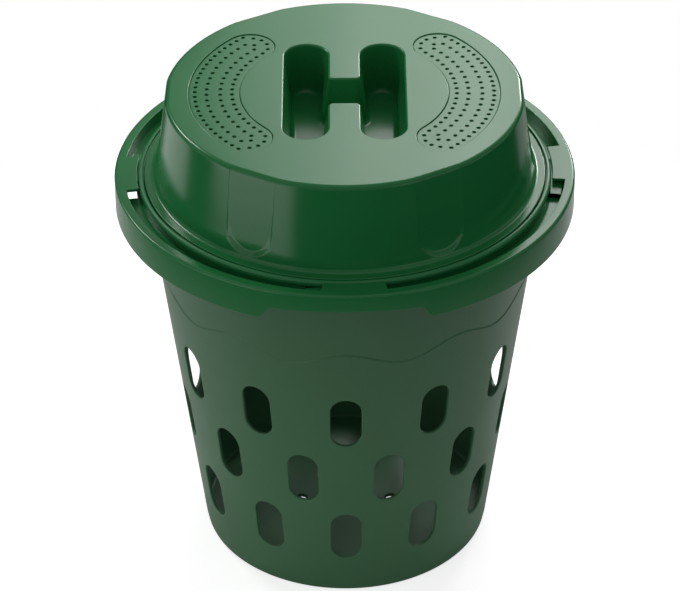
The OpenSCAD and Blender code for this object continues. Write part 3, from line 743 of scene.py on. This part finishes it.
def make_lid():
    """The lid: the dome's side with its flutes, its edge, flange and lining, the grip, the
    vents' seats, the flat top and roof between them, and the lugs."""
    skin = Skin()
    draft, top_r = DOME_DRAFT, DOME_ROUND
    top_x = dome_out(DOME_H - top_r) - top_r / math.cos(draft)
    side_low = FOOT_FILLET * (1 - math.sin(draft))
    side_high = DOME_H - top_r + top_r * math.sin(draft)
    foot_length = FOOT_FILLET * (math.pi / 2 - draft)
    side_length = foot_length + (side_high - side_low) / math.cos(draft)
    low, in_r = SEAT_Z, FLANGE_R - LID_WALL
    # dome's foot and side: the columns keep their distance from the middle of a flute near it,
    # and the rows are finer below fine_end
    fine_end = 27
    s = np.concatenate([np.linspace(0, foot_length, 13)[:-1],
                        np.linspace(foot_length, fine_end, 20)[:-1],
                        np.linspace(fine_end, side_length, 11)])
    point, out = side_profile(s)
    across = lid_columns()[None]
    r = point[:, :1]
    near = 1 - smooth((np.abs(across) - 22) / 25)
    turn = np.degrees(across / DOME_TOP_R) * (1 + (DOME_TOP_R / r - 1) * near)
    wide = np.radians(turn) * r
    cut = flute_cut(wide, s[:, None], point[:, 1:])
    radial = r - cut * out[:, :1]
    height = point[:, 1:] - cut * out[:, 1:]
    turns = (turn[:, None] + (np.arange(FLUTES) * 360 / FLUTES)[:, None]).reshape(len(s), -1)
    radial, height = np.tile(radial, FLUTES), np.tile(height, FLUTES)
    a = np.radians(turns)
    skin.grid(np.stack([radial * np.cos(a), radial * np.sin(a), height + RIM], -1))
    # rounded edge at the top, let in over the flutes
    edge = quarter(top_x, DOME_H - top_r, top_r, math.degrees(draft), 90, 7)
    lean = np.linspace(math.sin(draft), 0, len(edge))
    inwards = np.stack([math.cos(draft) + 0 * lean, lean], -1)
    profile = edge[None] - np.tile(cut[-1], FLUTES)[:, None, None] * inwards[None]
    outside = spin(profile, turns[-1], RIM)
    skin.grid(outside)
    # flange, shelf and skirt
    ring = rounded(np.array([[in_r, low], [SHELF_R, low], [SHELF_R, SHELF_Z], [FLANGE_R, SHELF_Z],
                             [FLANGE_R, 0], [in_r, 0]]), np.array([0.3, 0.4, 0.3, 0.2, 0.6, 0]), 4)[:25]
    edge_turns = turns[0]
    skin.grid(spin(np.vstack([ring, point[:1]]), edge_turns, RIM))
    # inside of the skirt, the dome and the roof
    roof = DOME_H - LID_WALL
    wall_in = LID_WALL / math.cos(draft)
    inner = np.array([(in_r, low + 0.3), (in_r, -LID_WALL)] + [
        (dome_out(z) - wall_in - FLUTE_DEPTH * 0.5, z) for z in (-LID_WALL, 15, 35, roof - 1.5)])
    inner = np.vstack([ring[:1], inner, inner[-1] + [(-0.5, 1.0), (-1.5, 1.5)]])
    lining = spin(inner, edge_turns, RIM)
    skin.grid(lining, flip=True)
    # grip: rounded mouth, drafted wall, rounded floor, and the wall's other side
    h, h_out = grip_outline()
    m, fr = GRIP_MOUTH, GRIP_FLOOR_ROUND
    floor = DOME_H - GRIP_DEPTH
    draw = (GRIP_DEPTH - m) * math.tan(GRIP_DRAFT)
    wall = soft_edge(0, DOME_H, m, 8)
    slope = math.tan(GRIP_DRAFT)
    bend = fr * math.tan((math.pi / 2 - GRIP_DRAFT) / 2)
    depths = np.linspace(0, 1, 12)[1:]
    end_z = floor + bend * math.cos(GRIP_DRAFT)
    end_x = -draw + (end_z - floor) * slope
    wall += [(end_x * s, DOME_H - m + (end_z - DOME_H + m) * s) for s in depths]
    cx, cz = end_x - fr * math.cos(GRIP_DRAFT), floor + fr
    sweep = np.linspace(-GRIP_DRAFT, -math.pi / 2, 8)[1:]
    wall += [(cx + fr * math.cos(p), cz + fr * math.sin(p)) for p in sweep]
    wall = np.array(wall) + (0, RIM)
    rows = swept(skin, h, h_out, wall)
    back = np.array([(LID_WALL, roof), (LID_WALL - draw, floor + 2),
                     (LID_WALL - draw - 2, floor - LID_WALL)]) + (0, RIM)
    back_rows = swept(skin, h, h_out, back, flip=True)
    flat(skin, floor + RIM, rows[-1])
    flat(skin, floor - LID_WALL + RIM, back_rows[-1], up=False)
    # seats of the vents: edge, wall, ledge, opening and the ledge's other side
    holes, under_holes = [rows[0]], [back_rows[0]]
    ledge = DOME_H - VENT_SINK - VENT_T
    lip = 0.45
    for side in (1, -1):
        c, c_out = crescent(side)
        seat = soft_edge(0, DOME_H, lip, 5)
        seat += [(0, ledge), (-VENT_SEAT, ledge), (-VENT_SEAT, ledge - LID_WALL),
                 (LID_WALL, ledge - LID_WALL), (LID_WALL, roof)]
        seat_rows = swept(skin, c, c_out, np.array(seat) + (0, RIM))
        holes.append(seat_rows[0])
        under_holes.append(seat_rows[-1])
    flat(skin, DOME_H + RIM, outside[-1], holes)
    flat(skin, roof + RIM, lining[-1], under_holes, up=False)
    for k in range(4):
        lug(skin, TAB_TURN + LUG_TURN + 90 * k)
    return skin.mesh("lid_skin")


def make_vent(name, side):
    """A vent plate: a crescent with a rounded edge and rows of small holes with soft rims."""
    skin = Skin()
    c, c_out = crescent(side)
    high, low = RIM + DOME_H - VENT_SINK, RIM + DOME_H - VENT_SINK - VENT_T
    lip = 0.4
    edge = [(-VENT_GAP - x, z) for x, z in soft_edge(0, high, lip, 5)] + [(-VENT_GAP, low)]
    rows = swept(skin, c, c_out, edge, flip=True)
    spots = []
    for inset, step, count in VENT_ROWS:
        a = np.radians((np.arange(count) - (count - 1) / 2) * step)
        spots += [((VENT_R - inset) * math.cos(t), (VENT_R - inset) * math.sin(t)) for t in a]
    for s in (-1, 1):
        mid = (VENT_R + VENT_IN_R) / 2
        a = math.radians(s * VENT_HALF)
        cx, cy = mid * math.cos(a), mid * math.sin(a)
        for t in VENT_END_ANGLES:
            b = a + s * math.radians(90 - t)
            spots.append((cx + VENT_END_R * math.cos(b), cy + VENT_END_R * math.sin(b)))
        spots.append((cx - s * VENT_END_MID * math.sin(a), cy + s * VENT_END_MID * math.cos(a)))
    dirs = circle(1, 20)
    soft = 0.15
    drop = [(soft, high), (soft * 0.3, high - soft * 0.3), (0, high - soft), (0, low)]
    tops, bottoms = [], []
    for x, y in spots:
        hole = swept(skin, circle(VENT_HOLE_R, 20, side * x, side * y), dirs, drop)
        tops.append(hole[0])
        bottoms.append(hole[-1])
    flat(skin, high, rows[0], tops)
    flat(skin, low, rows[-1], bottoms, up=False)
    return skin.mesh(name)


# ---------------------------------------------------------------- finishes

# Noise cells per metre: the mould's orange peel and fine grain, and clouds and specks of shade
PEEL, GRAIN, CLOUDS, SPECKS = 140.0, 900.0, 14.0, 420.0

# How much a plastic's shade and its roughness change over a piece
SHADE_CHANGE, ROUGHNESS_CHANGE = 0.06, 0.08


def group(name, inputs, outputs):
    """An empty node group with the named inputs, (name, type, default), and outputs."""
    made = bpy.data.node_groups.new(name, "ShaderNodeTree")
    for label, kind, default in inputs:
        socket = made.interface.new_socket(label, in_out="INPUT", socket_type=kind)
        if default is not None:
            socket.default_value = default
    for label, kind in outputs:
        made.interface.new_socket(label, in_out="OUTPUT", socket_type=kind)
    return made, made.nodes.new("NodeGroupInput"), made.nodes.new("NodeGroupOutput")


def noise(tree, vector, scale, detail, roughness=0.5):
    """Noise from 0 to 1, with so many cells per metre, as an output to link from."""
    made = tree.nodes.new("ShaderNodeTexNoise")
    made.inputs["Detail"].default_value = detail
    made.inputs["Roughness"].default_value = roughness
    made.inputs["Scale"].default_value = scale
    tree.links.new(vector, made.inputs["Vector"])
    return made.outputs["Fac"]


def maths(tree, operation, *values):
    """One operation on values that are numbers or outputs, as an output to link from."""
    made = tree.nodes.new("ShaderNodeMath")
    made.operation = operation
    for socket, value in zip(made.inputs, values):
        if isinstance(value, (int, float)):
            socket.default_value = value
        else:
            tree.links.new(value, socket)
    return made.outputs[0]


def make_moulded_grain():
    """The faint orange peel of a polished mould, and the finer grain on top of it, as a
    surface height in millimetres turned into a normal."""
    made, given, result = group("moulded_grain", [
        ("Position", "NodeSocketVector", None), ("Height mm", "NodeSocketFloat", 0.01)],
        [("Normal", "NodeSocketVector")])
    peel = noise(made, given.outputs["Position"], PEEL, 2.0)
    fine = noise(made, given.outputs["Position"], GRAIN, 3.0, 0.6)
    height = maths(made, "ADD", maths(made, "MULTIPLY", peel, 2.0), fine)
    height = maths(made, "MULTIPLY", height, maths(made, "MULTIPLY", given.outputs["Height mm"], MM))
    bump = made.nodes.new("ShaderNodeBump")
    bump.inputs["Distance"].default_value = 1.0
    made.links.new(height, bump.inputs["Height"])
    made.links.new(bump.outputs["Normal"], result.inputs["Normal"])
    return made


def make_soft_shade():
    """Slow changes of shade and gloss over a moulding, from its flow and from handling."""
    made, given, result = group("soft_shade", [
        ("Position", "NodeSocketVector", None), ("Colour", "NodeSocketColor", (0.02, 0.1, 0.04, 1)),
        ("Roughness", "NodeSocketFloat", 0.3)],
        [("Colour", "NodeSocketColor"), ("Roughness", "NodeSocketFloat")])
    cloud = maths(made, "SUBTRACT", noise(made, given.outputs["Position"], CLOUDS, 0.0), 0.5)
    specks = maths(made, "SUBTRACT", noise(made, given.outputs["Position"], SPECKS, 2.0), 0.5)
    both = maths(made, "ADD", cloud, maths(made, "MULTIPLY", specks, 0.5))
    level = maths(made, "ADD", 1.0, maths(made, "MULTIPLY", both, SHADE_CHANGE))
    scaled = made.nodes.new("ShaderNodeVectorMath")
    scaled.operation = "SCALE"
    made.links.new(given.outputs["Colour"], scaled.inputs[0])
    made.links.new(level, scaled.inputs["Scale"])
    rough = maths(made, "ADD", given.outputs["Roughness"],
                  maths(made, "MULTIPLY", cloud, ROUGHNESS_CHANGE))
    made.links.new(scaled.outputs[0], result.inputs["Colour"])
    made.links.new(rough, result.inputs["Roughness"])
    return made


def use_group(tree, made, **values):
    """A node of a shared group, with its inputs set to values or linked to outputs."""
    node = tree.nodes.new("ShaderNodeGroup")
    node.node_tree = made
    for label, value in values.items():
        socket = node.inputs[label.replace("_", " ")]
        if hasattr(value, "node"):
            tree.links.new(value, socket)
        else:
            socket.default_value = value
    return node


def plastic(name, colour, roughness, grain_mm):
    """Moulded plastic: one colour all through, with its grain and slow changes of shade."""
    material = bpy.data.materials.new(name)
    material.use_nodes = True
    tree = material.node_tree
    shader = tree.nodes["Principled BSDF"]
    position = tree.nodes.new("ShaderNodeTexCoord").outputs["Object"]
    tone = use_group(tree, soft_shade, Position=position, Colour=(*colour, 1), Roughness=roughness)
    grain = use_group(tree, moulded_grain, Position=position, Height_mm=grain_mm)
    tree.links.new(tone.outputs["Colour"], shader.inputs["Base Color"])
    tree.links.new(tone.outputs["Roughness"], shader.inputs["Roughness"])
    tree.links.new(grain.outputs["Normal"], shader.inputs["Normal"])
    return material


moulded_grain = make_moulded_grain()
soft_shade = make_soft_shade()
glossy_green = (0.0206, 0.236, 0.0655)
lid_green = plastic("lid_green", glossy_green, 0.2, 0.004)
collar_green = plastic("collar_green", glossy_green, 0.2, 0.004)
vent_green = plastic("vent_green", glossy_green, 0.2, 0.004)
tub_green = plastic("tub_green", (0.07, 0.212, 0.098), 0.36, 0.006)
# The seal's green is lighter than the lid's green: this is painted light, standing in for the light that
# falls on the seal's wall in the groove
seal_green_painted_lighter = plastic("seal_green_painted_lighter", (0.028, 0.27, 0.083), 0.38, 0.003)

# ---------------------------------------------------------------- the wormery


def place(mesh, body, node, material):
    """Show a mesh in place of its CAD node, on the body that carries it."""
    piece = bpy.data.objects.new(mesh.name, mesh)
    bpy.context.scene.collection.objects.link(piece)
    mesh.materials.append(material)
    normals = piece.modifiers.new("even_normals", "WEIGHTED_NORMAL")
    normals.keep_sharp = True
    normals.weight = 80
    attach(piece, body)
    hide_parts(node)
    nodes[node].data.materials[0] = material


place(make_tub(), "tub", "tub", tub_green)
place(make_collar(), "tub", "collar", collar_green)
place(make_seal(), "seal", "seal_ring", seal_green_painted_lighter)
place(make_lid(), "lid", "lid", lid_green)
place(make_vent("right_vent_skin", 1), "lid", "right_vent", vent_green)
place(make_vent("left_vent_skin", -1), "lid", "left_vent", vent_green)

bpy.context.scene.view_settings.view_transform = "Standard"
